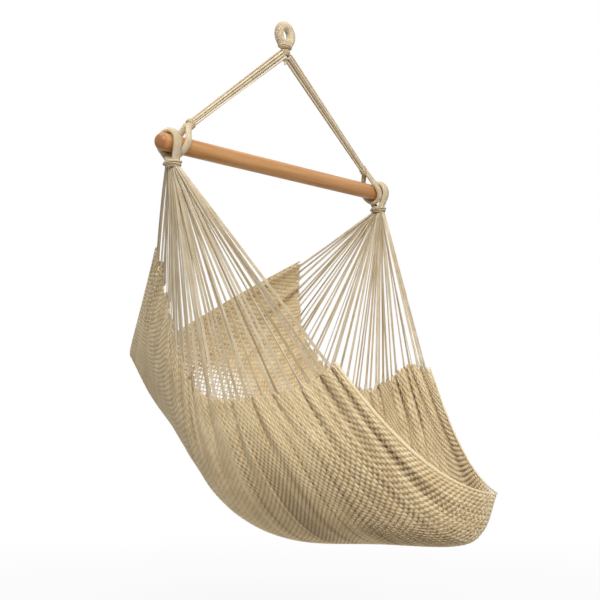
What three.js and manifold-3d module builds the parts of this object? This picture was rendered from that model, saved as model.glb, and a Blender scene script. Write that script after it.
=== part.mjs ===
import * as THREE from "three";
import { mergeVertices } from "three/addons/utils/BufferGeometryUtils.js";
import Module from "manifold-3d";

const wasm = await Module();
wasm.setup();

// A net hammock chair that hangs from one hook.
// Millimetres. +X runs along the spreader bar, -Y is the front and +Z is up.
// The origin is where the hook bears, at the inside top of the hanging loop.

// Room between pieces
const fitGap = 0.35;
const netGap = 0.6;
const barFit = 0.55;
const windingFit = 0.6;
const turnGap = 0.55;

// Heights under the hook
const hookToPivot = 60;
const hookToBar = 382.5;

// Spreader bar: one round wooden rod with eased ends
const barLength = 942;
const barRadius = 21.5;
const barEndRound = 19;

// Hanging loop: a served hank of cord, bent to an eye and closed by two whippings
const loopThickness = 25;
const loopHalfWidth = 25;
const loopLegSink = 1.2;
const loopFootShare = 0.44;
const neckTaperShare = 0.8;
const pivotBallRadius = 10;
const pivotFit = 0.4;
const whippingCord = 4.4;
const upperWhippingTurns = 1.25;
const lowerWhippingTurns = 2;

// Bridle: a bundle of parallel cords to each end of the bar, and its eye round the bar
const bridleCord = 5;
const bridleRows = [3, 4, 3];
const bridleFootSpacing = 5.25;
const bridleHeadSpacing = 8.4;
const bridleCordSink = 1;
const bridleEyeThickness = 13;
const bridleEyeFootShare = 0.42;
const hammockToBridleEye = 37.5;
const bridleFootInset = 23;
const bridleFootRise = 50;
const bridleEyeBend = 7;
const seizingCord = 4;
const seizingTurns = 2.5;

// Hammock eyes: the served ends of the hammock body, round the bar outside the bridle eyes
const barEndToHammockEye = 38.5;
const hammockEyeWidth = 24;
const hammockEyeThickness = 15;
const hammockEyeThroat = 11.5;
const hammockFootShare = 0.55;
const hammockLegSinkShare = 0.25;
const hammockNeckHalfX = 15.5;
const hammockNeckHalfY = 20;
const eyeWhippingCord = 4.2;
const eyeWhippingTurns = 2.5;

// Clew cords: they fan out from each neck to the side rims of the net
const clewCord = 3.8;
const clewRowShare = 0.85;
const bunchesPerSide = 8;
const cordsPerBunch = 5;

// Net: one sheet with the seat and the back in it
const netHalfWidth = 330;
const netBackReach = 605;
const netFrontReach = 640;
const netDrop = 983;
const netThickness = 8;
const netBulgeAngle = THREE.MathUtils.degToRad(72);
const netRidgeShare = 0.08;
const netBackFlatShare = 0.45;
const netFrontFlatShare = 0.28;
const netLeftFlatShare = 1.05;
const netRightFlatShare = 1.2;
const netFadingPower = 1.5;
const foldDepth = 7;
const foldsPerSide = 8;
const frontSelvageDiameter = 9;
const backSelvageDiameter = 6;

// Rims and middle line of the net, from its back edge to its front edge.
// Each point is its place across, its reach to the back or the front, and its drop under the bar.
const leftRimShares = [
  [0.879, 0.321, 0.226],
  [0.909, 0.243, 0.331],
  [0.948, 0.177, 0.429],
  [0.979, 0.102, 0.524],
  [1, 0.003, 0.597],
  [0.985, -0.117, 0.623],
  [0.918, -0.267, 0.612],
  [0.794, -0.394, 0.595],
  [0.658, -0.516, 0.539],
];
const rightRimShares = [
  [0.879, 0.304, 0.209],
  [0.924, 0.324, 0.32],
  [0.97, 0.314, 0.427],
  [0.994, 0.207, 0.514],
  [0.976, 0.066, 0.57],
  [0.909, -0.078, 0.592],
  [0.848, -0.203, 0.57],
  [0.758, -0.347, 0.529],
  [0.658, -0.508, 0.539],
];
const middleShares = [
  [0, 1, 0.486],
  [0, 0.785, 0.627],
  [0, 0.562, 0.751],
  [0, 0.339, 0.867],
  [0, 0.132, 0.958],
  [0, -0.125, 1],
  [0, -0.516, 0.988],
  [0, -0.828, 0.978],
  [0, -0.959, 0.942],
  [0, -0.994, 0.844],
];

// Fineness of the faceted surfaces
const roundSides = 32;
const barEndSteps = 6;
const ballSides = 20;
const eyeSides = 12;
const eyeSteps = 28;
const arcSteps = 12;
const bridleCordSides = 8;
const clewCordSides = 6;
const selvageSides = 8;
const windingSides = 6;
const stepsPerTurn = 24;
const slopeStep = 0.002;
const netStepsAlong = bunchesPerSide * cordsPerBunch;
const netStepsAcross = 14;

// Places that several pieces share
const barZ = -hookToBar;
const pivot = new THREE.Vector3(0, 0, -hookToPivot);
const hammockEyeX = barLength / 2 - barEndToHammockEye;
const bridleEyeX = hammockEyeX - hammockToBridleEye;
const sides = { left: -1, right: 1 };

// Looks of the two materials
const cotton = { color: 0xcfbd9b, roughness: 0.92, metalness: 0 };
const cottonServing = { color: 0xd8c9ab, roughness: 0.88, metalness: 0 };
const oiledWood = { color: 0xb87a45, roughness: 0.45, metalness: 0 };

function pieceMesh(name, geometry, look) {
  const mesh = new THREE.Mesh(geometry, new THREE.MeshStandardMaterial({ ...look }));
  mesh.name = name;
  return mesh;
}

function toSolid(geometry) {
  const bare = geometry.clone();
  bare.deleteAttribute("normal");
  bare.deleteAttribute("uv");
  const merged = mergeVertices(bare);
  const vertProperties = merged.attributes.position.array;
  const triVerts = new Uint32Array(merged.index.array);
  return new wasm.Manifold(new wasm.Mesh({ numProp: 3, vertProperties, triVerts }));
}

function toGeometry(solid) {
  const mesh = solid.getMesh();
  const geometry = new THREE.BufferGeometry();
  geometry.setAttribute("position", new THREE.BufferAttribute(mesh.vertProperties, 3));
  geometry.setIndex(new THREE.BufferAttribute(mesh.triVerts, 1));
  return geometry;
}

function joined(geometries) {
  const solids = geometries.map(toSolid);
  return solids.reduce((whole, next) => whole.add(next));
}

// A cube that cuts away what lies past one of its faces.
function blockAt(centre, size) {
  const block = new THREE.BoxGeometry(size, size, size);
  block.translate(centre.x, centre.y, centre.z);
  return toSolid(block);
}

function ovalShape(halfWidth, halfHeight, sideCount) {
  const points = [];
  for (let i = 0; i < sideCount; i++) {
    const angle = (2 * Math.PI * i) / sideCount;
    points.push(new THREE.Vector2(halfWidth * Math.cos(angle), halfHeight * Math.sin(angle)));
  }
  return new THREE.Shape(points);
}

function alongCurve(shape, curve, steps) {
  return new THREE.ExtrudeGeometry(shape, { steps, extrudePath: curve });
}

function straightCord(from, to, radius, sideCount) {
  return alongCurve(ovalShape(radius, radius, sideCount), new THREE.LineCurve3(from, to), 1);
}

// A closed tube with one ring of corners at each point, for windings and rolled edges.
function tubeThrough(points, radius, sideCount) {
  const positions = [];
  const faces = [];
  const tangents = points.map((point, i) => {
    const before = points[Math.max(i - 1, 0)];
    const after = points[Math.min(i + 1, points.length - 1)];
    return after.clone().sub(before).normalize();
  });
  const across = new THREE.Vector3(0, 0, 1).cross(tangents[0]).normalize();
  points.forEach((point, i) => {
    across.addScaledVector(tangents[i], -across.dot(tangents[i])).normalize();
    const up = tangents[i].clone().cross(across);
    for (let k = 0; k < sideCount; k++) {
      const angle = (2 * Math.PI * k) / sideCount;
      const corner = point.clone().addScaledVector(across, radius * Math.cos(angle));
      positions.push(corner.addScaledVector(up, radius * Math.sin(angle)));
    }
  });
  for (let i = 0; i + 1 < points.length; i++) {
    for (let k = 0; k < sideCount; k++) {
      const a = i * sideCount + k;
      const b = i * sideCount + ((k + 1) % sideCount);
      faces.push(a, b, b + sideCount, a, b + sideCount, a + sideCount);
    }
  }
  const last = (points.length - 1) * sideCount;
  for (let k = 1; k + 1 < sideCount; k++) {
    faces.push(0, k + 1, k);
    faces.push(last, last + k, last + k + 1);
  }
  const geometry = new THREE.BufferGeometry().setFromPoints(positions);
  geometry.setIndex(faces);
  return geometry;
}

// Outline of an eye in its own plane: a foot, the leg up to the ring, over the top and down again.
// The ring's middle is the origin, and the feet stand footDrop under it.
function eyeOutline(ring, footHalf, footDrop) {
  const footAngle = Math.atan2(-footDrop, footHalf);
  const leave = footAngle + Math.acos(ring / Math.hypot(footHalf, footDrop));
  const outline = [[footHalf, -footDrop]];
  for (let i = 0; i <= arcSteps; i++) {
    const angle = leave + ((Math.PI - 2 * leave) * i) / arcSteps;
    outline.push([ring * Math.cos(angle), ring * Math.sin(angle)]);
  }
  outline.push([-footHalf, -footDrop]);
  return outline;
}

function smoothCurve(points) {
  return new THREE.CatmullRomCurve3(points, false, "centripetal");
}

// A solid oval neck that stands on the plane z = 0 and may taper from its top to its foot.
function ovalNeck(halfX, halfY, height, footShare) {
  const neck = new THREE.CylinderGeometry(1, footShare, height, roundSides);
  neck.rotateX(Math.PI / 2);
  neck.scale(halfX, halfY, 1);
  neck.translate(0, 0, height / 2);
  return neck;
}

function windingHeight(cord, turns) {
  return turns * (cord + turnGap) + cord;
}

// Middle line of a cord wound round an upright core, centred on the origin.
// halvesAt gives the winding's half width and half depth at a height.
function windingPoints(cord, turns, halvesAt) {
  const steps = Math.round(turns * stepsPerTurn);
  const rise = turns * (cord + turnGap);
  const points = [];
  for (let i = 0; i <= steps; i++) {
    const angle = (2 * Math.PI * i) / stepsPerTurn;
    const z = rise / 2 - (rise * i) / steps;
    const [halfX, halfY] = halvesAt(z);
    points.push(new THREE.Vector3(halfX * Math.cos(angle), halfY * Math.sin(angle), z));
  }
  return points;
}

// Least room between one turn and the next, taken over the winding's own points.
function leastTurnGap(points, cord) {
  const apart = stepsPerTurn / 2;
  let least = Infinity;
  for (let i = 0; i < points.length; i++) {
    for (let j = i + apart; j < points.length; j++) {
      least = Math.min(least, points[i].distanceTo(points[j]) - cord);
    }
  }
  return least;
}

function winding(name, cord, turns, halvesAt) {
  const points = windingPoints(cord, turns, halvesAt);
  console.log(name + ": least gap to itself " + leastTurnGap(points, cord).toFixed(2) + " mm");
  return pieceMesh(name, tubeThrough(points, cord / 2, windingSides), cottonServing);
}

function roundOvalCore(halfX, halfY, cord) {
  const reach = windingFit + cord / 2;
  return () => [halfX + reach, halfY + reach];
}

function spreaderBar() {
  const profile = [new THREE.Vector2(0, -barLength / 2)];
  for (const end of [-1, 1]) {
    for (let i = 0; i <= barEndSteps; i++) {
      const turn = (Math.PI / 2) * (end < 0 ? i / barEndSteps : 1 - i / barEndSteps);
      const x = barRadius - barEndRound * (1 - Math.sin(turn));
      profile.push(new THREE.Vector2(x, end * (barLength / 2 - barEndRound * (1 - Math.cos(turn)))));
    }
  }
  profile.push(new THREE.Vector2(0, barLength / 2));
  const bar = new THREE.LatheGeometry(profile, roundSides);
  bar.rotateZ(-Math.PI / 2);
  const mesh = pieceMesh("spreader_bar", bar, oiledWood);
  mesh.position.set(0, 0, barZ);
  return mesh;
}

// Hanging loop

const loopRingZ = loopThickness / 2 - loopHalfWidth;
const loopFootHalf = loopThickness * loopFootShare;
const loopNeckHalfX = loopFootHalf + loopThickness / 2;
const loopNeckHalfY = loopThickness / 2;
const loopNeckHeight = windingHeight(whippingCord, upperWhippingTurns) + 2 * loopLegSink;
const loopNeckDrop = hookToPivot - pivotBallRadius - pivotFit - loopNeckHeight;
const whippingFromPivot = pivotBallRadius + windingFit + whippingCord / 2;

function hangingLoop() {
  const outline = eyeOutline(loopHalfWidth, loopFootHalf, loopNeckDrop + loopRingZ);
  const points = outline.map(([x, z]) => new THREE.Vector3(x, 0, z + loopRingZ));
  const run = new THREE.Vector3(0, 0, -loopThickness / 2);
  points.unshift(points[0].clone().add(run));
  points.push(points[points.length - 1].clone().add(run));
  const half = loopThickness / 2;
  const legs = alongCurve(ovalShape(half, half, eyeSides), smoothCurve(points), eyeSteps);
  const cutSize = 4 * loopThickness;
  const cut = blockAt(new THREE.Vector3(0, 0, -loopNeckDrop - loopLegSink - cutSize / 2), cutSize);
  const neck = ovalNeck(loopNeckHalfX, loopNeckHalfY, loopNeckHeight, neckTaperShare);
  neck.translate(0, 0, -loopNeckDrop - loopNeckHeight);
  const eye = toSolid(legs).subtract(cut).add(toSolid(neck));
  return pieceMesh("hanging_loop", toGeometry(eye), cottonServing);
}

// It sits at the foot of the tapered neck.
function upperNeckWhipping() {
  const reach = windingFit + whippingCord / 2;
  const middle = windingHeight(whippingCord, upperWhippingTurns) / 2;
  const halvesAt = (z) => {
    const share = neckTaperShare + ((1 - neckTaperShare) * (z + middle)) / loopNeckHeight;
    return [loopNeckHalfX * share + reach, loopNeckHalfY * share + reach];
  };
  const mesh = winding("neck_whipping_upper", whippingCord, upperWhippingTurns, halvesAt);
  mesh.position.set(0, 0, middle - loopNeckDrop - loopNeckHeight);
  return mesh;
}

// The cords of both bridle ropes pass through this ball-shaped middle of the neck.
function cordNeck() {
  const ball = new THREE.SphereGeometry(pivotBallRadius, ballSides, ballSides / 2);
  ball.rotateX(Math.PI / 2);
  const mesh = pieceMesh("cord_neck", ball, cotton);
  mesh.position.copy(pivot);
  return mesh;
}

// Its turns keep one distance from the pivot, so the neck and the ropes can swing past it.
function lowerNeckWhipping() {
  const halvesAt = (z) => {
    const half = Math.sqrt(whippingFromPivot * whippingFromPivot - z * z);
    return [half, half];
  };
  const mesh = winding("neck_whipping_lower", whippingCord, lowerWhippingTurns, halvesAt);
  mesh.position.copy(pivot);
  return mesh;
}

// Bridle

const bridleRing = barRadius + barFit + bridleEyeThickness / 2;
const bridleEyeFootHalf = bridleEyeThickness * bridleEyeFootShare;
const whippingReach = whippingFromPivot + whippingCord / 2;

// Foot of a bridle rope, its direction up to the pivot, and the direction across it.
function bridleFrame(side) {
  const foot = new THREE.Vector3(side * (bridleEyeX - bridleFootInset), 0, barZ + bridleFootRise);
  const up = pivot.clone().sub(foot).normalize();
  const across = new THREE.Vector3(0, 1, 0).cross(up);
  const start = foot.clone().addScaledVector(up, bridleEyeBend + fitGap);
  const head = pivot.clone().addScaledVector(up, -whippingReach - fitGap);
  return { foot, up, across, start, head };
}

// Places of the cords in the bundle, as numbers of spacings along and across the rows.
function bridleCordPlaces() {
  const rowPitch = Math.sqrt(3) / 2;
  return bridleRows.flatMap((count, row) => {
    const y = (row - (bridleRows.length - 1) / 2) * rowPitch;
    return Array.from({ length: count }, (_, k) => [k - (count - 1) / 2, y]);
  });
}

const longestRow = Math.max(...bridleRows);
const spliceHalfAcross = ((longestRow - 1) / 2) * bridleFootSpacing + bridleCord / 2;
const spliceHalfY = (Math.sqrt(3) / 2) * bridleFootSpacing + bridleCord / 2;
const spliceWrapped = windingHeight(seizingCord, seizingTurns) + 2 * fitGap;
const spliceLength = spliceWrapped + bridleCordSink;

function placeOnBridle(object, frame, distance) {
  const basis = new THREE.Matrix4().makeBasis(frame.across, new THREE.Vector3(0, 1, 0), frame.up);
  object.quaternion.setFromRotationMatrix(basis);
  object.position.copy(frame.start).addScaledVector(frame.up, distance);
  return object;
}

function bridleRope(name, side) {
  const frame = bridleFrame(side);
  const length = frame.head.distanceTo(frame.start);
  const cords = bridleCordPlaces().map(([along, y]) => {
    const low = new THREE.Vector3(along, y, 0).multiplyScalar(bridleFootSpacing);
    const high = new THREE.Vector3(along, y, 0).multiplyScalar(bridleHeadSpacing);
    low.z = spliceWrapped;
    high.z = length;
    return straightCord(low, high, bridleCord / 2, bridleCordSides);
  });
  const splice = ovalNeck(spliceHalfAcross, spliceHalfY, spliceLength, 1);
  const mesh = pieceMesh(name, toGeometry(joined([splice, ...cords])), cotton);
  return placeOnBridle(mesh, frame, 0);
}

function bridleSeizing(name, side) {
  const halvesAt = roundOvalCore(spliceHalfAcross, spliceHalfY, seizingCord);
  const mesh = winding(name, seizingCord, seizingTurns, halvesAt);
  return placeOnBridle(mesh, bridleFrame(side), spliceWrapped / 2);
}

function bridleEye(name, side) {
  const frame = bridleFrame(side);
  const lean = bridleFootInset / bridleFootRise;
  const outline = eyeOutline(bridleRing, bridleEyeFootHalf, bridleFootRise);
  const points = outline.map(([y, down]) => {
    return new THREE.Vector3(side * (bridleEyeX + down * lean), y, barZ - down);
  });
  const bend = frame.up.clone().multiplyScalar(bridleEyeBend);
  points.unshift(points[0].clone().add(bend));
  points.push(points[points.length - 1].clone().add(bend));
  const half = bridleEyeThickness / 2;
  const eye = alongCurve(ovalShape(half, half, eyeSides), smoothCurve(points), eyeSteps);
  return pieceMesh(name, toGeometry(toSolid(eye)), cottonServing);
}

// Hammock eyes

const hammockRing = barRadius + barFit + hammockEyeThickness / 2;
const hammockNeckTop = hammockRing + hammockEyeThroat;
const hammockNeckHeight = windingHeight(eyeWhippingCord, eyeWhippingTurns) + fitGap;
const hammockLegSink = hammockNeckHeight * hammockLegSinkShare;
const clewTop = barZ - hammockNeckTop - hammockNeckHeight - fitGap;

function hammockEye(name, side) {
  const outline = eyeOutline(hammockRing, hammockNeckHalfY * hammockFootShare, hammockNeckTop);
  const points = outline.map(([y, z]) => new THREE.Vector3(0, y, z));
  const sink = new THREE.Vector3(0, 0, -hammockLegSink);
  points.unshift(points[0].clone().add(sink));
  points.push(points[points.length - 1].clone().add(sink));
  const section = ovalShape(hammockEyeWidth / 2, hammockEyeThickness / 2, eyeSides);
  const eye = alongCurve(section, smoothCurve(points), eyeSteps);
  const neck = ovalNeck(hammockNeckHalfX, hammockNeckHalfY, hammockNeckHeight, 1);
  neck.translate(0, 0, -hammockNeckTop - hammockNeckHeight);
  const mesh = pieceMesh(name, toGeometry(joined([eye, neck])), cottonServing);
  mesh.position.set(side * hammockEyeX, 0, barZ);
  return mesh;
}

function eyeWhipping(name, side) {
  const halvesAt = roundOvalCore(hammockNeckHalfX, hammockNeckHalfY, eyeWhippingCord);
  const mesh = winding(name, eyeWhippingCord, eyeWhippingTurns, halvesAt);
  mesh.position.set(side * hammockEyeX, 0, barZ - hammockNeckTop - hammockNeckHeight / 2);
  return mesh;
}

// Net

function curveOf(shares, side) {
  const points = shares.map(([across, reach, drop]) => {
    const y = reach * (reach < 0 ? netFrontReach : netBackReach);
    return new THREE.Vector3(side * across * netHalfWidth, y, barZ - drop * netDrop);
  });
  return new THREE.CatmullRomCurve3(points, false, "catmullrom", 0.5);
}

const leftRim = curveOf(leftRimShares, sides.left);
const rightRim = curveOf(rightRimShares, sides.right);
const middleLine = curveOf(middleShares, 0);

// The sheet without its folds. It bulges between the rims as a round bowl,
// and flattens to a shallow V with a soft ridge at the front and back edges.
function bowlPoint(u, v) {
  const rim = (u < 0 ? leftRim : rightRim).getPointAt(v);
  const middle = middleLine.getPointAt(v);
  const a = Math.abs(u);
  const roundAcross = Math.sin(a * netBulgeAngle) / Math.sin(netBulgeAngle);
  const roundRise = (1 - Math.cos(a * netBulgeAngle)) / (1 - Math.cos(netBulgeAngle));
  const ridge = Math.hypot(a, netRidgeShare) - netRidgeShare;
  const ridgeRise = ridge / (Math.hypot(1, netRidgeShare) - netRidgeShare);
  const back = (u < 0 ? netLeftFlatShare : netRightFlatShare) * fading(1 - v / netBackFlatShare);
  const flat = back + fading((v - 1 + netFrontFlatShare) / netFrontFlatShare);
  const across = THREE.MathUtils.lerp(roundAcross, a, flat);
  const depthRise = THREE.MathUtils.lerp(roundRise, ridgeRise, flat);
  const heightRise = THREE.MathUtils.lerp(roundRise, ridgeRise, back);
  const x = rim.x * across;
  const y = THREE.MathUtils.lerp(middle.y, rim.y, depthRise);
  return new THREE.Vector3(x, y, THREE.MathUtils.lerp(middle.z, rim.z, heightRise));
}

function fading(share) {
  return Math.pow(THREE.MathUtils.clamp(share, 0, 1), netFadingPower);
}

// Directions over a surface at one place: across it, along it, and out of its hollow side.
function directionsAt(surface, u, v) {
  const u1 = Math.min(u + slopeStep, 1);
  const v1 = Math.min(v + slopeStep, 1);
  const u0 = Math.max(u - slopeStep, -1);
  const v0 = Math.max(v - slopeStep, 0);
  const across = surface(u1, v).sub(surface(u0, v)).normalize();
  const along = surface(u, v1).sub(surface(u, v0)).normalize();
  const out = across.clone().cross(along).normalize();
  return { across, along, out };
}

// The folds run in from both side rims and die out towards the middle and the two edges.
function netPoint(u, v) {
  const depth = foldDepth * u * u * Math.sin(Math.PI * v);
  const wave = Math.sin(2 * Math.PI * foldsPerSide * v + Math.PI * (1 - Math.abs(u)));
  return bowlPoint(u, v).addScaledVector(directionsAt(bowlPoint, u, v).out, depth * wave);
}

const netGrid = [];
for (let i = 0; i <= netStepsAlong; i++) {
  netGrid.push([]);
  for (let j = 0; j <= netStepsAcross; j++) {
    const u = (2 * j) / netStepsAcross - 1;
    const v = i / netStepsAlong;
    netGrid[i].push({ point: netPoint(u, v), ...directionsAt(netPoint, u, v) });
  }
}

function net() {
  const positions = [];
  const faces = [];
  const quad = (a, b, c, d) => faces.push(a, b, c, a, c, d);
  const outer = (i, j) => 2 * (i * (netStepsAcross + 1) + j);
  const inner = (i, j) => outer(i, j) + 1;
  for (const { point, out } of netGrid.flat()) {
    positions.push(point.clone().addScaledVector(out, netThickness / 2));
    positions.push(point.clone().addScaledVector(out, -netThickness / 2));
  }
  const n = netStepsAlong;
  const m = netStepsAcross;
  for (let i = 0; i < n; i++) {
    for (let j = 0; j < m; j++) {
      quad(outer(i, j), outer(i, j + 1), outer(i + 1, j + 1), outer(i + 1, j));
      quad(inner(i, j), inner(i + 1, j), inner(i + 1, j + 1), inner(i, j + 1));
    }
    quad(outer(i, 0), outer(i + 1, 0), inner(i + 1, 0), inner(i, 0));
    quad(outer(i + 1, m), outer(i, m), inner(i, m), inner(i + 1, m));
  }
  for (let j = 0; j < m; j++) {
    quad(outer(0, j + 1), outer(0, j), inner(0, j), inner(0, j + 1));
    quad(outer(n, j), outer(n, j + 1), inner(n, j + 1), inner(n, j));
  }
  const geometry = new THREE.BufferGeometry().setFromPoints(positions);
  geometry.setIndex(faces);
  return pieceMesh("net", geometry, cotton);
}

// A rolled edge lies along the net's front or back edge, just off it.
function selvage(name, row, diameter, sense) {
  const away = diameter / 2 + netGap;
  const edges = [];
  for (let j = 0; j + 1 < row.length; j++) {
    const run = row[j + 1].point.clone().sub(row[j].point).normalize();
    const out = row[j].out.clone().add(row[j + 1].out).normalize();
    edges.push(out.cross(run).multiplyScalar(sense).normalize());
  }
  const points = row.map(({ point }, j) => {
    const before = edges[Math.max(j - 1, 0)];
    const after = edges[Math.min(j, edges.length - 1)];
    const mitre = before.clone().add(after).normalize();
    return point.clone().addScaledVector(mitre, away / mitre.dot(after));
  });
  return pieceMesh(name, tubeThrough(points, diameter / 2, selvageSides), cotton);
}

// Clew cords

// Where one clew cord meets the net: the middle of one step of its side rim.
function clewTarget(side, cord) {
  const j = side < 0 ? 0 : netStepsAcross;
  const a = netGrid[cord][j];
  const b = netGrid[cord + 1][j];
  const point = a.point.clone().add(b.point).multiplyScalar(0.5);
  const run = b.point.clone().sub(a.point).normalize();
  const out = a.out.clone().add(b.out).normalize();
  const away = run.cross(out).multiplyScalar(side).normalize();
  return { point, away };
}

// The bunches stand one behind another under the neck.
// Each gets room for its cords, which take more of it the further they lean to the front or the back.
function bunchPlaces(side) {
  const widths = [];
  for (let bunch = 0; bunch < bunchesPerSide; bunch++) {
    let width = 0;
    for (let k = 0; k < cordsPerBunch; k++) {
      const { point } = clewTarget(side, bunch * cordsPerBunch + k);
      const lean = Math.atan2(point.y, clewTop - point.z);
      width = Math.max(width, (clewCord + fitGap) / Math.cos(lean));
    }
    widths.push(width);
  }
  const places = [];
  let y = widths.reduce((sum, width) => sum + width) / 2;
  for (const width of widths) {
    places.push(y - width / 2);
    y -= width;
  }
  return places;
}

function clewBunch(name, side, bunch) {
  const y = bunchPlaces(side)[bunch];
  const radius = clewCord / 2;
  const overrun = 2 * clewCord;
  const cords = [];
  for (let k = 0; k < cordsPerBunch; k++) {
    const row = (k - (cordsPerBunch - 1) / 2) * clewCord * clewRowShare;
    const start = new THREE.Vector3(side * hammockEyeX + row, y, clewTop);
    const { point, away } = clewTarget(side, bunch * cordsPerBunch + k);
    const up = start.clone().sub(point).normalize();
    const slant = up.angleTo(away);
    const stop = netGap / Math.cos(slant) + radius * Math.tan(slant);
    const end = point.clone().addScaledVector(up, stop);
    cords.push(straightCord(end, start.addScaledVector(up, overrun), radius, clewCordSides));
  }
  const cutSize = 4 * hammockNeckHalfY;
  const cut = blockAt(new THREE.Vector3(side * hammockEyeX, 0, clewTop + cutSize / 2), cutSize);
  return pieceMesh(name, toGeometry(joined(cords).subtract(cut)), cotton);
}

// The whole chair

const chair = new THREE.Group();
chair.name = "hammock_chair";
chair.add(hangingLoop(), upperNeckWhipping(), lowerNeckWhipping(), cordNeck(), spreaderBar(), net());
chair.add(selvage("front_selvage", netGrid[netStepsAlong], frontSelvageDiameter, 1));
chair.add(selvage("back_selvage", netGrid[0], backSelvageDiameter, -1));
for (const [label, side] of Object.entries(sides)) {
  chair.add(bridleRope("bridle_rope_" + label, side));
  chair.add(bridleSeizing("bridle_seizing_" + label, side));
  chair.add(bridleEye("bridle_eye_" + label, side));
  chair.add(hammockEye("hammock_eye_" + label, side));
  chair.add(eyeWhipping("eye_whipping_" + label, side));
  for (let bunch = 0; bunch < bunchesPerSide; bunch++) {
    chair.add(clewBunch("clew_bunch_" + label + "_" + (bunch + 1), side, bunch));
  }
}

export default chair;
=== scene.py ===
import math

import bpy
import numpy as np
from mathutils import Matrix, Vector


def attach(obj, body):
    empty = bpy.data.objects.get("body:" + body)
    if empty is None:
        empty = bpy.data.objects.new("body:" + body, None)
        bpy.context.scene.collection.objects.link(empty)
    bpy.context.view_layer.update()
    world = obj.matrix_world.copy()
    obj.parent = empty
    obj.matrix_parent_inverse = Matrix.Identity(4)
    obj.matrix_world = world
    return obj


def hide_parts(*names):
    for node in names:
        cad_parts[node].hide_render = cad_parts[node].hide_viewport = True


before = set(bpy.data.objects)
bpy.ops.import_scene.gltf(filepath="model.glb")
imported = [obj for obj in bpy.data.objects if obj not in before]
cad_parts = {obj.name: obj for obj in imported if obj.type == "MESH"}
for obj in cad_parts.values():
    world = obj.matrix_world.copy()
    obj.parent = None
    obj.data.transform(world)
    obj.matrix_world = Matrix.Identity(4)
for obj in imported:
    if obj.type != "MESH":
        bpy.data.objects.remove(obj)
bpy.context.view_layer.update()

# Camera and studio
# The camera stands in front of the chair, level with the seat and towards the -X end of the bar,
# as in the photograph. A pale floor lies under the chair, and three soft lamps stand round it.

picture_pixels = 600
sensor_width = 0.036
focal_pixels = 1124
camera_place = Vector((-2.307, -1.934, -0.9945))
camera_heading = Vector((0.775, 0.632, 0.0))
camera_tilt = math.radians(2.05)
camera_shift = 0.0968

camera_data = bpy.data.cameras.new("camera")
camera_data.sensor_width = sensor_width * 1000
camera_data.lens = camera_data.sensor_width * focal_pixels / picture_pixels
camera_data.shift_y = camera_shift
camera_data.clip_end = 100
camera = bpy.data.objects.new("camera", camera_data)
camera.location = camera_place
sight = camera_heading.normalized() + Vector((0, 0, math.tan(camera_tilt)))
camera.rotation_mode = "QUATERNION"
camera.rotation_quaternion = sight.to_track_quat("-Z", "Y")
bpy.context.scene.collection.objects.link(camera)
bpy.context.scene.camera = camera
bpy.context.scene.view_settings.view_transform = "Standard"


def set_sockets(node, sockets):
    """Set each socket of a node to its value, or join it to the output that is given for it."""
    for socket, value in sockets.items():
        if isinstance(value, bpy.types.NodeSocket):
            node.id_data.links.new(value, node.inputs[socket])
        else:
            node.inputs[socket].default_value = value


def add_node(tree, kind, sockets=None, **settings):
    """A new node with its settings made and its sockets set."""
    made = tree.nodes.new(kind)
    for key, value in settings.items():
        setattr(made, key, value)
    set_sockets(made, sockets or {})
    return made


def maths(tree, operation, *values):
    return add_node(tree, "ShaderNodeMath", dict(enumerate(values)), operation=operation).outputs[0]


def ranged(tree, value, low, high, first=0.0, last=1.0, way="SMOOTHSTEP"):
    """A number that goes from first to last while the value goes from low to high."""
    sockets = {"Value": value, "From Min": low, "From Max": high, "To Min": first, "To Max": last}
    made = add_node(tree, "ShaderNodeMapRange", sockets, interpolation_type=way)
    return made.outputs["Result"]


def seen_directly(tree):
    """1 for rays that show the surroundings as such: the camera's, and those in gloss and glass."""
    rays = add_node(tree, "ShaderNodeLightPath").outputs
    first = maths(tree, "MAXIMUM", rays["Is Camera Ray"], rays["Is Glossy Ray"])
    return maths(tree, "MAXIMUM", first, rays["Is Transmission Ray"])


air_tint = (1.0, 0.985, 0.96, 1)
air_strength = 0.24
plain_white = (1, 1, 1, 1)

studio_air = bpy.data.worlds.new("studio air")
studio_air.use_nodes = True
air = studio_air.node_tree
air.nodes.clear()
air_light = add_node(air, "ShaderNodeBackground", {"Color": air_tint, "Strength": air_strength})
air_white = add_node(air, "ShaderNodeBackground", {"Color": plain_white})
air_layers = {0: seen_directly(air), 1: air_light.outputs[0], 2: air_white.outputs[0]}
air_mix = add_node(air, "ShaderNodeMixShader", air_layers)
add_node(air, "ShaderNodeOutputWorld", {"Surface": air_mix.outputs[0]})
bpy.context.scene.world = studio_air

floor_drop = 1.75
floor_half = 30.0
floor_corners = ((-1, -1), (1, -1), (1, 1), (-1, 1))
floor_tint = (0.66, 0.65, 0.63, 1)
# The floor shows this share of white near the chair, and turns all white between two distances.
floor_white_share = 0.87
floor_white_from, floor_white_at = 1.2, 4.0

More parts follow.
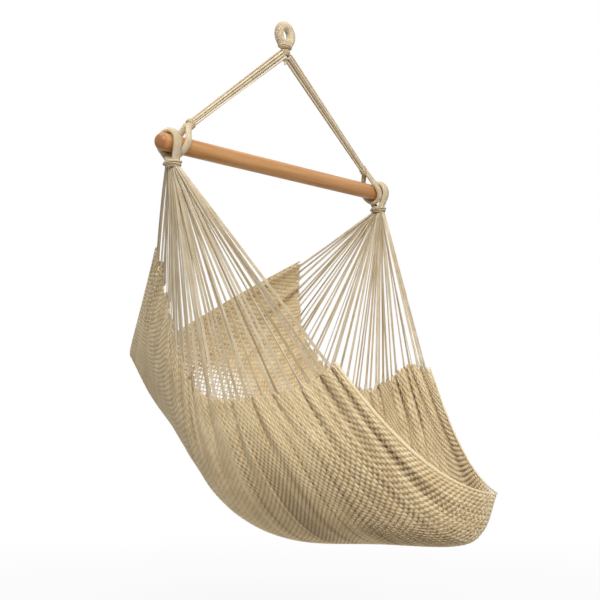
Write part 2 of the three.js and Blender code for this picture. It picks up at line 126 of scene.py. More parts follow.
floor_mesh = bpy.data.meshes.new("floor")
floor_mesh.from_pydata(
    [(x * floor_half, y * floor_half, -floor_drop) for x, y in floor_corners], [], [(0, 1, 2, 3)]
)
floor = bpy.data.objects.new("floor", floor_mesh)
bpy.context.scene.collection.objects.link(floor)
floor_paint = bpy.data.materials.new("pale floor")
floor_paint.use_nodes = True
paint = floor_paint.node_tree
paint.nodes.clear()
floor_matt = add_node(paint, "ShaderNodeBsdfDiffuse", {"Color": floor_tint})
floor_glow = add_node(paint, "ShaderNodeEmission", {"Color": plain_white})
floor_place = add_node(paint, "ShaderNodeNewGeometry").outputs["Position"]
floor_reach = add_node(paint, "ShaderNodeVectorMath", {0: floor_place}, operation="LENGTH")
floor_fade = ranged(
    paint, floor_reach.outputs["Value"], floor_white_from, floor_white_at, floor_white_share
)
floor_white = maths(paint, "MULTIPLY", seen_directly(paint), floor_fade)
floor_layers = {0: floor_white, 1: floor_matt.outputs[0], 2: floor_glow.outputs[0]}
floor_mix = add_node(paint, "ShaderNodeMixShader", floor_layers)
add_node(paint, "ShaderNodeOutputMaterial", {"Surface": floor_mix.outputs[0]})
floor_mesh.materials.append(floor_paint)

chair_middle = Vector((0, 0, -0.75))
lamp_tint = (1.0, 0.98, 0.95)
# Place, power and width of each lamp.
studio_lamps = {
    "key lamp": ((-3.0, -2.6, 2.3), 192, 1.5),
    "fill lamp": ((0.9, -3.7, 1.2), 46, 2.4),
    "top lamp": ((-1.0, 1.0, 3.2), 62, 1.6),
}
for lamp_name, (place, power, width) in studio_lamps.items():
    lamp_data = bpy.data.lights.new(lamp_name, "AREA")
    lamp_data.energy = power
    lamp_data.size = width
    lamp_data.color = lamp_tint
    lamp = bpy.data.objects.new(lamp_name, lamp_data)
    lamp.location = place
    lamp.rotation_mode = "QUATERNION"
    lamp.rotation_quaternion = (chair_middle - Vector(place)).to_track_quat("-Z", "Y")
    bpy.context.scene.collection.objects.link(lamp)

# Hanging loop
# The bight of the whole cord bundle, which goes over the hook. A thin cotton cord is wound tight
# round it, turn beside turn, down to the neck where both legs meet.


def unit(arrows):
    """The same directions, each one long."""
    return arrows / np.linalg.norm(arrows, axis=-1, keepdims=True)


def evenly(path, count):
    """The same path again as count points at even distances."""
    path = np.asarray(path, float)
    gone = np.concatenate([[0], np.cumsum(np.linalg.norm(np.diff(path, axis=0), axis=1))])
    at = np.linspace(0, gone[-1], count)
    return np.stack([np.interp(at, gone, path[:, k]) for k in range(3)], axis=1)


def length_of(path):
    return float(np.linalg.norm(np.diff(path, axis=0), axis=1).sum())


def cords_along(
    paths, outward, half_across, half_up, sides, plies=0, groove=0.0, lay=1.0, tone=None
):
    """Rings of points round cords laid on paths, as (cords, rings, corners, 3).

    outward is the side of each cord that faces away from what it lies on. A twisted cord shows
    plies strands, parted by grooves that are a share of its radius and wind once round in lay.
    """
    paths = np.asarray(paths, float)
    run = unit(np.gradient(paths, axis=1))
    across = unit(np.cross(run, np.broadcast_to(outward, paths.shape)))
    up = np.cross(across, run)
    steps = np.linalg.norm(np.diff(paths, axis=1), axis=2)
    gone = np.concatenate([np.zeros((len(paths), 1)), np.cumsum(steps, axis=1)], axis=1)
    angle = 2 * math.pi * np.arange(sides) / sides
    winding = angle - 2 * math.pi * gone[:, :, None] / lay
    crown = 1 - groove * (0.5 - 0.5 * np.cos(plies * winding))
    width = np.broadcast_to(half_across, gone.shape)[:, :, None] * crown * np.cos(angle)
    height = np.broadcast_to(half_up, gone.shape)[:, :, None] * crown * np.sin(angle)
    rings = (
        paths[:, :, None]
        + width[..., None] * across[:, :, None]
        + height[..., None] * up[:, :, None]
    )
    tone = np.asarray(0.5 if tone is None else tone, float)
    tone = tone.reshape(tone.shape + (1,) * (3 - tone.ndim))
    return {"rings": rings, "gone": gone, "tone": np.broadcast_to(tone, rings.shape[:3])}


def quads_of(rings):
    """Corner numbers of the faces between neighbouring rings."""
    cords, count, sides = rings
    number = np.arange(cords * count * sides).reshape(cords, count, sides)
    near, far = number[:, :-1], number[:, 1:]
    return np.stack([near, far, np.roll(far, -1, 2), np.roll(near, -1, 2)], axis=-1), number


def cord_mesh(name, bundles):
    """One mesh of all the cords, with a closed end at both ends of each.

    Its map "lay" has the distance along the cord and the share round it, and its map "OFBake"
    has one strip for each cord.
    """
    strips = sum(len(b["gone"]) for b in bundles)
    longest = max(b["gone"].max() for b in bundles)
    edge, margin, cap_half = 0.02, 0.05, 0.004
    points, corners, sizes, lays, bakes, tones, smooth = [], [], [], [], [], [], []
    first_point = first_strip = 0
    for bundle in bundles:
        rings, gone = bundle["rings"], bundle["gone"]
        cords, count, sides = rings.shape[:3]
        quads, number = quads_of((cords, count, sides))
        round_share = np.arange(sides + 1) / sides
        near, far = gone[:, :-1, None], gone[:, 1:, None]
        low = np.broadcast_to(round_share[:-1], quads.shape[:3])
        high = np.broadcast_to(round_share[1:], quads.shape[:3])
        near, far = np.broadcast_to(near, low.shape), np.broadcast_to(far, low.shape)
        strip = (first_strip + np.arange(cords))[:, None, None]
        along = np.stack([near, far, far, near], axis=-1)
        around = np.stack([low, low, high, high], axis=-1)
        lays.append(np.stack([along, around], axis=-1).reshape(-1, 2))
        strip_u = edge + (1 - 2 * edge) * along / longest
        strip_v = (strip[..., None] + margin + (1 - 2 * margin) * around) / strips
        bakes.append(np.stack([strip_u, strip_v], axis=-1).reshape(-1, 2))
        corners.append(quads.reshape(-1) + first_point)
        sizes.append(np.full(quads.size // 4, 4))
        smooth.append(np.ones(quads.size // 4, bool))
        turn = 2 * math.pi * np.arange(sides) / sides
        dot = cap_half * np.stack([np.cos(turn), np.sin(turn) / strips], axis=-1)
        ends = (
            (number[:, 0], gone[:, 0], edge / 2),
            (number[:, -1, ::-1], gone[:, -1], 1 - edge / 2),
        )
        for ring, reach, place in ends:
            corners.append(ring.reshape(-1) + first_point)
            sizes.append(np.full(cords, sides))
            smooth.append(np.zeros(cords, bool))
            lays.append(np.stack([np.repeat(reach, sides), np.full(cords * sides, 0.5)], axis=-1))
            middle = np.stack([np.full(cords, place), (strip[:, 0, 0] + 0.5) / strips], axis=-1)
            bakes.append((middle[:, None] + dot).reshape(-1, 2))
        points.append(rings.reshape(-1, 3))
        tones.append(bundle["tone"].ravel())
        first_point += cords * count * sides
        first_strip += cords
    points, corners, sizes = np.concatenate(points), np.concatenate(corners), np.concatenate(sizes)
    mesh = bpy.data.meshes.new(name)
    mesh.vertices.add(len(points))
    mesh.vertices.foreach_set("co", points.astype(np.float32).ravel())
    mesh.loops.add(len(corners))
    mesh.loops.foreach_set("vertex_index", corners.astype(np.int32))
    mesh.polygons.add(len(sizes))
    mesh.polygons.foreach_set("loop_start", (np.cumsum(sizes) - sizes).astype(np.int32))
    mesh.update(calc_edges=True)
    mesh.polygons.foreach_set("use_smooth", np.concatenate(smooth))
    for map_name, places in (("OFBake", bakes), ("lay", lays)):
        layer = mesh.uv_layers.new(name=map_name, do_init=False)
        layer.uv.foreach_set("vector", np.concatenate(places).astype(np.float32).ravel())
    mesh.uv_layers.active = mesh.uv_layers["OFBake"]
    own_tone = mesh.attributes.new("tone", "FLOAT", "POINT")
    own_tone.data.foreach_set("value", np.concatenate(tones).astype(np.float32))
    return mesh


def add_cords(name, bundles, finish, slot, body, *stands_for):
    """One piece of cords, shown in place of the solids that it stands for."""
    piece = bpy.data.objects.new(name, cord_mesh(name, bundles))
    piece.data.materials.append(finish)
    bpy.context.scene.collection.objects.link(piece)
    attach(piece, body)
    if stands_for:
        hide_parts(*stands_for)
    return piece


def wound_round(path, side_arrow, half_across, half_up, pitch, steps_per_turn=18):
    """Middle line of a cord wound along a path, and the direction away from the path."""
    turns = length_of(path) / pitch
    line = evenly(path, max(int(turns * steps_per_turn), 8))
    run = unit(np.gradient(line, axis=0))
    across = unit(np.cross(run, side_arrow))
    up = np.cross(across, run)
    angle = np.linspace(0, 2 * math.pi * turns, len(line))[:, None]
    out = np.cos(angle) * half_across * across + np.sin(angle) * half_up * up
    return (line + out)[None], unit(out)[None]


def eye_outline(ring, foot_half, foot_drop, steps=40):
    """Foot, leg, round top and other leg of an eye in its own plane, round the ring's middle."""
    leave = math.atan2(-foot_drop, foot_half) + math.acos(ring / math.hypot(foot_half, foot_drop))
    turn = np.linspace(leave, math.pi - leave, steps)
    arc = ring * np.stack([np.cos(turn), np.sin(turn)], axis=1)
    return np.concatenate([[[foot_half, -foot_drop]], arc, [[-foot_half, -foot_drop]]])


def colour(red, green, blue):
    """A colour as a screen shows it, from 0 to 255, in the numbers that a material takes."""
    shares = [c / 255 for c in (red, green, blue)]
    return (*[c / 12.92 if c <= 0.04045 else ((c + 0.055) / 1.055) ** 2.4 for c in shares], 1.0)


def noise(tree, place, scale, detail, distortion=0.0):
    sockets = {"Vector": place, "Scale": scale, "Detail": detail, "Distortion": distortion}
    return add_node(tree, "ShaderNodeTexNoise", sockets).outputs["Fac"]


def mixed(tree, share, one, other):
    sockets = {"Factor": share, "A": one, "B": other}
    return add_node(tree, "ShaderNodeMix", sockets, data_type="RGBA").outputs["Result"]


def raised(tree, height, strength, distance):
    """The normal of a surface that stands up where the height is large."""
    sockets = {"Height": height, "Strength": strength, "Distance": distance}
    return add_node(tree, "ShaderNodeBump", sockets).outputs["Normal"]


def cotton(name, pale, deep, crease_shade, plies, lay, relief, crease_shade_share=0.55):
    """Twisted cotton cord: soft plies with darker creases, stray fibres and uneven tone.

    The creases between the plies are darkened with painted shade. The attribute "tone" makes a cord
    paler or deeper, and darkens it towards the crease shade colour where it is low; on the net the
    tone also carries painted shade.
    """
    fibre_scale, patch_scale = 1400, 22
    own_share, patch_share = 0.6, 0.8
    deep_at, pale_at = 0.35, 1.05
    dark_below, dark_gain = 0.3, 1.6
    fibre_height, bump_strength = 0.35, 0.8
    finish = bpy.data.materials.new(name)
    finish.use_nodes = True
    tree = finish.node_tree
    lay_map = add_node(tree, "ShaderNodeUVMap", uv_map="lay").outputs["UV"]
    lay_parts = add_node(tree, "ShaderNodeSeparateXYZ", {0: lay_map}).outputs
    winding = maths(tree, "MULTIPLY", lay_parts["X"], 2 * math.pi * plies / lay)
    round_it = maths(tree, "MULTIPLY", lay_parts["Y"], 2 * math.pi * plies)
    wave = maths(tree, "COSINE", maths(tree, "SUBTRACT", round_it, winding))
    crown = maths(tree, "POWER", maths(tree, "MULTIPLY_ADD", wave, 0.5, 0.5), 0.6)
    place = add_node(tree, "ShaderNodeTexCoord").outputs["Object"]
    fibres = noise(tree, place, fibre_scale, 2)
    patches = noise(tree, place, patch_scale, 3)
    own = add_node(tree, "ShaderNodeAttribute", attribute_name="tone").outputs["Fac"]
    own_part = maths(tree, "MULTIPLY", own, own_share)
    tone = maths(tree, "ADD", own_part, maths(tree, "MULTIPLY", patches, patch_share))
    cloth = mixed(tree, ranged(tree, tone, deep_at, pale_at), deep, pale)
    # Where the tone is low: painted shade on the net, and darker cords at random elsewhere.
    below = maths(tree, "MAXIMUM", maths(tree, "SUBTRACT", dark_below, own), 0.0)
    hollow = maths(tree, "MULTIPLY", below, dark_gain)
    # Painted shade in the creases between the plies.
    painted_ply_shade = maths(tree, "MULTIPLY", maths(tree, "SUBTRACT", 1.0, crown), crease_shade_share)
    fuzz = maths(tree, "MULTIPLY", fibres, fibre_height)
    set_sockets(
        tree.nodes["Principled BSDF"],
        {
            "Base Color": mixed(tree, maths(tree, "ADD", painted_ply_shade, hollow), cloth, crease_shade),
            "Roughness": 0.92,
            "Specular IOR Level": 0.25,
            "Sheen Weight": 0.25,
            "Sheen Roughness": 0.6,
            "Normal": raised(tree, maths(tree, "ADD", crown, fuzz), bump_strength, relief),
        },
    )
    return finish


loop_half_width = 0.025
loop_thickness = 0.025
loop_foot_half = 0.011
loop_leg_reach = 0.006
loop_neck_top = 0.0366
loop_neck_foot = 0.0496
loop_neck_halves = (0.0232, 0.0122)
loop_neck_taper = 0.8
serving_cord = 0.0026
serving_depth = 0.9 * serving_cord
loop_serving_pitch = 0.0021
ring_drop = loop_half_width - loop_thickness / 2

served_cotton = cotton(
    "served cotton",
    pale=colour(226, 212, 184),
    deep=colour(204, 187, 154),
    # Colour of the painted shade in the creases between plies
    crease_shade=colour(150, 124, 84),
    plies=2,
    lay=0.006,
    relief=0.00018,
    crease_shade_share=0.2,
)

side_arrow = np.array([0.0, 1.0, 0.0])
outline = eye_outline(loop_half_width, loop_foot_half, loop_neck_top - ring_drop)
loop_line = np.stack([outline[:, 0], 0 * outline[:, 0], outline[:, 1] - ring_drop], axis=1)
leg_end = np.array([0, 0, -loop_leg_reach])
loop_line = np.concatenate([[loop_line[0] + leg_end], loop_line, [loop_line[-1] + leg_end]])
core_half = loop_thickness / 2 - serving_depth
serving_half = loop_thickness / 2 - serving_cord / 2
serving, serving_out = wound_round(
    loop_line, side_arrow, serving_half, serving_half, loop_serving_pitch
)
neck_steps = np.linspace(0, 1, 9)
neck_drop = loop_neck_top + (loop_neck_foot - loop_neck_top) * neck_steps
neck_width = 1 + (loop_neck_taper - 1) * neck_steps
neck_line = np.stack([0 * neck_drop, 0 * neck_drop, -neck_drop], axis=1)
add_cords(
    "loop_serving",
    [
        cords_along([evenly(loop_line, 60)], side_arrow, core_half, core_half, sides=20),
        cords_along(serving, serving_out, serving_cord / 2, serving_cord / 2, sides=6),
        cords_along(
            [neck_line], side_arrow, loop_neck_halves[0] * neck_width,
            loop_neck_halves[1] * neck_width, sides=64, plies=16, groove=0.1, lay=0.4,
        ),
    ],
    served_cotton,
    "serving",
    "loop",
    "hanging_loop",
)

# Neck whippings
# Two short bands of twisted cord, one over the other, that close the neck of the loop. The upper
# one grips the loop, and the lower one lets the bridle swing and turn under it.

whipping_cord = 0.0036
upper_whipping_cord = 0.0034
upper_turns, upper_steps = 2.1, 60
lower_turns, lower_steps = 4, 120
lower_turn_gap = 0.0001
hook_to_pivot = 0.060
whipping_from_pivot = 0.0128
whipping_fit = 0.0006
pivot = np.array([0.0, 0.0, -hook_to_pivot])

whipping_cotton = cotton(
    "whipping cotton",
    pale=colour(232, 214, 182),
    deep=colour(208, 186, 150),
    # Colour of the painted shade in the creases between plies
    crease_shade=colour(128, 98, 62),
    plies=3,
    lay=0.011,
    relief=0.0005,
)


def twisted(paths, outward, diameter, lay, groove=0.2, tone=None):
    """A cord of three plies laid up together."""
    half = diameter / 2
    return cords_along(paths, outward, half, half, 12, plies=3, groove=groove, lay=lay, tone=tone)


def whipping_on_neck():
    """The upper band's middle line, which follows the taper of the neck under it."""
    angle = np.linspace(0, 2 * math.pi * upper_turns, upper_steps)
    down = np.linspace(0, 1, upper_steps)
    low = loop_neck_foot - upper_whipping_cord / 2
    drop = loop_neck_top + upper_whipping_cord / 2 + whipping_fit
    drop = drop + (low - drop) * down
    share = 1 + (loop_neck_taper - 1) * (drop - loop_neck_top) / (loop_neck_foot - loop_neck_top)
    reach = whipping_fit + upper_whipping_cord / 2
    halves = [half * share + reach for half in loop_neck_halves]
    line = np.stack([halves[0] * np.cos(angle), halves[1] * np.sin(angle), -drop], axis=1)
    out = unit(np.stack([np.cos(angle) / halves[0], np.sin(angle) / halves[1], 0 * angle], axis=1))
    return line[None], out[None]


line, out = whipping_on_neck()
add_cords(
    "upper_neck_whipping",
    [twisted(line, out, upper_whipping_cord, lay=0.011)],
    whipping_cotton,
    "serving",
    "loop",
    "neck_whipping_upper",
)

angle = np.linspace(0, 2 * math.pi * lower_turns, lower_steps)
rise = np.linspace(1, -1, lower_steps) * lower_turns * (whipping_cord + lower_turn_gap) / 2
reach = np.sqrt(whipping_from_pivot**2 - rise**2)
line = pivot + np.stack([reach * np.cos(angle), reach * np.sin(angle), rise], axis=1)
add_cords(
    "lower_neck_whipping",
    [twisted(line[None], unit(line - pivot)[None], whipping_cord, lay=0.014)],
    whipping_cotton,
    "serving",
    "neck_turn",
    "neck_whipping_lower",
)

# Cords in the neck
# Inside the lower whipping all the cords of the bridle pass through one tight round bundle, and
# the chair swings and sways about its middle.

neck_ball_radius = 0.010
ball_steps = np.linspace(-0.999, 0.999, 21)
ball_reach = neck_ball_radius * np.sin(ball_steps * math.pi / 2)
ball_half = np.sqrt(neck_ball_radius**2 - ball_reach**2)
cord_cotton = cotton(
    "twisted cotton",
    pale=colour(228, 216, 192),
    deep=colour(204, 187, 156),
    # Colour of the painted shade in the creases between plies
    crease_shade=colour(146, 116, 76),
    plies=3,
    lay=0.060,
    relief=0.00005,
    crease_shade_share=0.05,
)
neck_core = pivot + ball_reach[:, None] * np.array([0, 0, 1.0])
add_cords(
    "neck_bundle",
    [
        cords_along(
            [neck_core], side_arrow, ball_half, ball_half, sides=48, plies=8, groove=0.16, lay=0.06
        )
    ],
    cord_cotton,
    "cord",
    "neck_sway",
    "cord_neck",
)

# Bridle ropes
# Each is ten three-ply cords side by side, which spread a little towards the neck. They are held
# by the neck above and run on below as the eye round the bar.

bridle_cord = 0.005
bridle_cord_slack = 0.0006
bridle_cord_end = 0.55
bridle_rows = (3, 4, 3)
bridle_foot_spacing = 0.00525
bridle_head_spacing = 0.0080
bridle_foot = (0.372, 0.3325)
bridle_bend = 0.00735
bridle_head_clear = 0.01535
splice_length = 0.0161
splice_halves = (0.0104, 0.0070)
dice = np.random.default_rng(5)

sides = {"left": -1, "right": 1}


def bridle_frame(side):
    """Where a rope starts over its eye, where it ends at the neck, and its two directions."""
    foot = np.array([side * bridle_foot[0], 0.0, -bridle_foot[1]])
    up = unit(pivot - foot)
    across = np.cross(side_arrow, up)
    return foot + bridle_bend * up, pivot - bridle_head_clear * up, up, across


def bridle_places():
    """Where each cord lies in the rope, in cord widths across it and from front to back."""
    row_pitch = math.sqrt(3) / 2
    return [
        (k - (count - 1) / 2, (row - 1) * row_pitch)
        for row, count in enumerate(bridle_rows)
        for k in range(count)
    ]


for label, side in sides.items():
    start, head, up, across = bridle_frame(side)
    low = start + splice_length * up
    paths = []
    share = np.concatenate([[0], np.linspace(0.004, 0.996, 150), [1]])[:, None]
    for along, deep_row in bridle_places():
        spread = along * across + deep_row * side_arrow
        foot_place = low + bridle_foot_spacing * spread
        head_place = head + bridle_head_spacing * spread
        slack = dice.normal(0, bridle_cord_slack, 2)
        bow = np.sin(math.pi * share) * (slack[0] * across + slack[1] * side_arrow)
        paths.append(foot_place + (head_place - foot_place) * share + bow)
    ends = np.ones(len(share))
    ends[0] = ends[-1] = bridle_cord_end
    splice = np.linspace(0, splice_length + 0.001, 8)[:, None] * up + start
    add_cords(
        "bridle_cords_" + label,
        [
            cords_along(
                paths, side_arrow, ends * bridle_cord / 2, ends * bridle_cord / 2,
                sides=12, plies=3, groove=0.05, lay=0.060, tone=dice.random(len(paths)),
            ),
            cords_along([splice], side_arrow, *splice_halves, 40, plies=10, groove=0.12, lay=0.3),
        ],
        cord_cotton,
        "cord",
        "bridle",
        "bridle_rope_" + label,
    )

# Crotch of the bridle
# Under the neck the lowest cords of one rope bend over into the other, in a wide layer and a
# short one inside it. The end of the whipping cord hangs there as a frayed tail.

crotch_cord = 0.0046
crotch_spacing = 1.05
# Distance from the pivot, places across in cord widths and half angle of each layer
crotch_layers = [(0.0183, (-1.5, -0.5, 0.5, 1.5), 52), (0.0150, (-0.5, 0.5), 24)]
tail_cord = 0.0070
tail_places = [
    (-0.0010, 0, -0.0170), (-0.0005, 0.001, -0.0220),
    (0.0005, -0.001, -0.0280), (0.0020, 0, -0.0330),
]

crotch = []
for from_pivot, deep_rows, half_angle in crotch_layers:
    bend_angle = np.radians(np.linspace(-90 - half_angle, -90 + half_angle, 25))
    for deep_row in deep_rows:
        beside_pivot = deep_row * crotch_spacing * crotch_cord
        ring_radius = math.sqrt(from_pivot**2 - beside_pivot**2)
        ring = np.stack([np.cos(bend_angle), 0 * bend_angle, np.sin(bend_angle)], axis=1)
        crotch.append(pivot + ring_radius * ring + beside_pivot * side_arrow)
tail_line = pivot + np.array(tail_places)
add_cords(
    "bridle_crotch",
    [
        twisted(crotch, side_arrow, crotch_cord, lay=0.017),
        twisted([evenly(tail_line, 16)], side_arrow, tail_cord, lay=0.016),
    ],
    cord_cotton,
    "cord",
    "bridle",
)

# Bridle seizings
# About five tight turns of twisted cotton cord close each rope, where its two legs come up from
# the eye on the bar.

seizing_cord = 0.0026
seizing_pitch = seizing_cord * 1.05

for label, side in sides.items():
    start, head, up, across = bridle_frame(side)
    lift = np.linspace(seizing_cord / 2, splice_length - seizing_cord / 2, 12)[:, None]
    reach = whipping_fit + seizing_cord / 2
    line, out = wound_round(
        start + lift * up, side_arrow, splice_halves[0] + reach, splice_halves[1] + reach,
        seizing_pitch, steps_per_turn=28,
    )
    add_cords(
        "bridle_seizing_cord_" + label,
        [twisted(line, out, seizing_cord, lay=0.013)],
        whipping_cotton,
        "serving",
        "bridle",
        "bridle_seizing_" + label,
    )

# Bridle eyes
# The foot of each rope opens into an eye of the same bundle, served with thin cord, that hugs the
# bar inboard of the seat's own eye and leans towards the neck.

bar_drop = 0.3825
bar_radius = 0.0215
bar_fit = 0.00055
bridle_eye_x = 0.3985
bridle_eye_thickness = 0.013
bridle_eye_width = 0.019
bridle_eye_foot_half = 0.00546
eye_serving_cord = 0.0021
eye_serving_pitch = 0.00185
eye_core_sink = 0.0002

for label, side in sides.items():
    start, head, up, across = bridle_frame(side)
    foot_rise = bar_drop - bridle_foot[1]
    lean = (bridle_eye_x - bridle_foot[0]) / foot_rise
    ring = bar_radius + bar_fit + bridle_eye_thickness / 2
    outline = eye_outline(ring, bridle_eye_foot_half, foot_rise)
    eye_x = side * (bridle_eye_x + outline[:, 1] * lean)
    line = np.stack([eye_x, outline[:, 0], -bar_drop - outline[:, 1]], axis=1)
    bend = bridle_bend * up
    line = np.concatenate([[line[0] + bend], line, [line[-1] + bend]])
    half = bridle_eye_thickness / 2 - eye_serving_cord / 2
    half_wide = bridle_eye_width / 2 - eye_serving_cord / 2
    core, core_wide = half - eye_core_sink, half_wide - eye_core_sink
    eye_face = unit(np.array([side * 1.0, 0, lean]))
    turns, out = wound_round(evenly(line, 200), eye_face, half, half_wide, eye_serving_pitch)
    add_cords(
        "bridle_eye_serving_" + label,
        [
            cords_along([evenly(line, 80)], eye_face, core, core_wide, sides=16),
            cords_along(turns, out, eye_serving_cord / 2, eye_serving_cord / 2, sides=5),
        ],
        served_cotton,
        "serving",
        "bridle",
        "bridle_eye_" + label,
    )

# Spreader bar
# A straight hardwood rod, turned round and sanded, with softly rounded ends and a satin oil
# finish. It holds both ropes and both ends of the seat apart, and can roll in its eyes.

bar_length = 0.942
bar_end_round = 0.019
bar_round_steps = 18
bar_straight_steps = 40
# The rings of a flat end face lie a hair apart, so that the bar's line has a direction there.
bar_ring_gap = 1e-6

turn = np.linspace(0, math.pi / 2, bar_round_steps)
end_x = bar_length / 2 - bar_end_round * (1 - np.sin(turn))
end_radius = bar_radius - bar_end_round * (1 - np.cos(turn))
face_shares = np.array([0.02, 0.35, 0.7, 0.93])
right_x = np.concatenate([end_x, np.full(len(face_shares), bar_length / 2)])
right_radius = np.concatenate([end_radius, end_radius[-1] * face_shares[::-1]])
straight_x = np.linspace(-end_x[0], end_x[0], bar_straight_steps)[1:-1]
straight_radius = np.full(len(straight_x), bar_radius)
bar_x = np.concatenate([-right_x[::-1], straight_x, right_x])
bar_halves = np.concatenate([right_radius[::-1], straight_radius, right_radius])
bar_x = bar_x + np.linspace(-1, 1, len(bar_x)) * bar_ring_gap
bar_line = np.stack([bar_x, 0 * bar_x, np.full(len(bar_x), -bar_drop)], axis=1)

bar_wood = bpy.data.materials.new("oiled bar wood")
bar_wood.use_nodes = True
wood = bar_wood.node_tree
wood_place = add_node(wood, "ShaderNodeTexCoord").outputs["Object"]
grain_map, pore_map = [
    add_node(wood, "ShaderNodeMapping", {"Vector": wood_place, "Scale": scale}).outputs["Vector"]
    for scale in ((3.5, 95, 95), (26, 900, 900))
]
wood_grain = noise(wood, grain_map, 1, 4, distortion=0.6)
wood_pores = noise(wood, pore_map, 1, 3)
wood_colours = add_node(wood, "ShaderNodeValToRGB", {"Fac": wood_grain})
late_wood, early_wood = wood_colours.color_ramp.elements
late_wood.color, late_wood.position = colour(174, 118, 66), 0.3
early_wood.color, early_wood.position = colour(204, 154, 98), 0.72
wood_fleck = ranged(wood, wood_pores, 0.56, 0.74, last=0.25, way="LINEAR")
flecked_wood = mixed(wood, wood_fleck, wood_colours.outputs["Color"], colour(118, 70, 36))
wood_parts = add_node(wood, "ShaderNodeSeparateXYZ", {0: wood_place})
wood_end = ranged(
    wood,
    maths(wood, "ABSOLUTE", wood_parts.outputs["X"]),
    bar_length / 2 - bar_end_round,
    bar_length / 2 - bar_end_round / 4,
    last=0.8,
)
set_sockets(
    wood.nodes["Principled BSDF"],
    {
        "Base Color": mixed(wood, wood_end, flecked_wood, colour(140, 88, 44)),
        "Roughness": ranged(wood, wood_pores, 0, 1, 0.36, 0.55, way="LINEAR"),
        "Specular IOR Level": 0.4,
        "Coat Weight": 0.12,
        "Coat Roughness": 0.35,
        "Normal": raised(wood, wood_pores, 0.25, 0.0004),
    },
)

add_cords(
    "turned_bar",
    [cords_along([bar_line], side_arrow, bar_halves, bar_halves, sides=96)],
    bar_wood,
    "bar_wood",
    "spreader",
    "spreader_bar",
)

# Hammock eyes
# At each end of the seat all its cords pass round the bar as one thick, flattened bundle. It is
# served with very fine cord, and its two legs meet in a neck under the bar.

hammock_eye_x = 0.4325
hammock_eye_halves = (0.0126, 0.0075)
hammock_neck_top = 0.04105
hammock_neck_height = 0.01643
hammock_neck_halves = (0.0155, 0.0200)
hammock_foot_half = 0.0110
fine_serving_cord = 0.0018
fine_serving_pitch = 0.0016
neck_lean = 0.006
x_arrow = np.array([1.0, 0, 0])


def leaning(side, places):
    """The eye's places, with its neck drawn inboard and forward by the seat that hangs from it."""
    below = np.clip((-bar_drop - places[..., 2]) / hammock_neck_top, 0, 1)[..., None]
    return places + below**1.5 * np.array([-side * neck_lean, -neck_lean, 0])


for label, side in sides.items():
    ring = bar_radius + bar_fit + hammock_eye_halves[1]
    outline = eye_outline(ring, hammock_foot_half, hammock_neck_top)
    eye_x = np.full(len(outline), side * hammock_eye_x)
    line = np.stack([eye_x, outline[:, 0], outline[:, 1] - bar_drop], axis=1)
    sink = np.array([0, 0, -hammock_neck_height / 4])
    line = leaning(side, np.concatenate([[line[0] + sink], line, [line[-1] + sink]]))
    half_radial = hammock_eye_halves[1] - fine_serving_cord / 2
    half_wide = hammock_eye_halves[0] - fine_serving_cord / 2
    core, core_wide = half_radial - eye_core_sink, half_wide - eye_core_sink
    turns, out = wound_round(
        evenly(line, 240), x_arrow, half_radial, half_wide, fine_serving_pitch, steps_per_turn=20
    )
    neck_drop = np.linspace(hammock_neck_top, hammock_neck_top + hammock_neck_height, 8)
    neck_x = np.full(len(neck_drop), side * hammock_eye_x)
    neck_line = leaning(side, np.stack([neck_x, 0 * neck_drop, -bar_drop - neck_drop], axis=1))
    add_cords(
        "hammock_eye_serving_" + label,
        [
            cords_along([evenly(line, 90)], x_arrow, core, core_wide, sides=20),
            cords_along(turns, out, fine_serving_cord / 2, fine_serving_cord / 2, sides=5),
            cords_along(
                [neck_line], x_arrow, hammock_neck_halves[1], hammock_neck_halves[0],
                sides=72, plies=18, groove=0.12, lay=0.5,
            ),
        ],
        served_cotton,
        "serving",
        "seat",
        "hammock_eye_" + label,
    )

# Eye whippings
# Three turns of twisted cord, two of them nearly level and the last drawn across them, close the
# neck of each hammock eye and part the eye from the cords that fan out below.

eye_whipping_cord = 0.0036
eye_whipping_turns = 3
eye_whipping_steps = 90
# Height of the cord at the ends of its turns, as a share of half the neck's height
eye_whipping_levels = (0.75, 0.1, -0.75, 0.85)
crossing_lift = 0.0022
crossing_from, crossing_reach = 4 * math.pi, 0.4 * math.pi

for label, side in sides.items():
    angle = np.linspace(0, 2 * math.pi * eye_whipping_turns, eye_whipping_steps)
    reach = whipping_fit + eye_whipping_cord / 2
    halves = (hammock_neck_halves[0] + reach, hammock_neck_halves[1] + reach)
    room = hammock_neck_height / 2 - eye_whipping_cord / 2
    turn_ends = 2 * math.pi * np.arange(eye_whipping_turns + 1)
    level = np.interp(angle, turn_ends, eye_whipping_levels) * room
    level = level + 0.1 * room * np.sin(2 * angle)
    lift = crossing_lift * np.clip((angle - crossing_from) / crossing_reach, 0, 1)
    line = np.stack(
        [
            side * hammock_eye_x + (halves[0] + lift) * np.cos(angle),
            (halves[1] + lift) * np.sin(angle),
            -bar_drop - hammock_neck_top - hammock_neck_height / 2 + level,
        ],
        axis=1,
    )
    line = leaning(side, line)
    out = unit(np.stack([np.cos(angle) / halves[0], np.sin(angle) / halves[1], 0 * angle], axis=1))
    add_cords(
        "eye_whipping_cord_" + label,
        [twisted(line[None], out[None], eye_whipping_cord, lay=0.013)],
        whipping_cotton,
        "serving",
        "seat",
        "eye_whipping_" + label,
    )

# Shape of the net
# The net hangs from its two side rims, which the fans of clew cords hold up. Between them it
# bulges as a round bowl, deepest under the sitter, and flattens towards its front and back edges.
# u runs from the left rim, -1, to the right rim, 1, and v from the back edge, 0, to the front, 1.

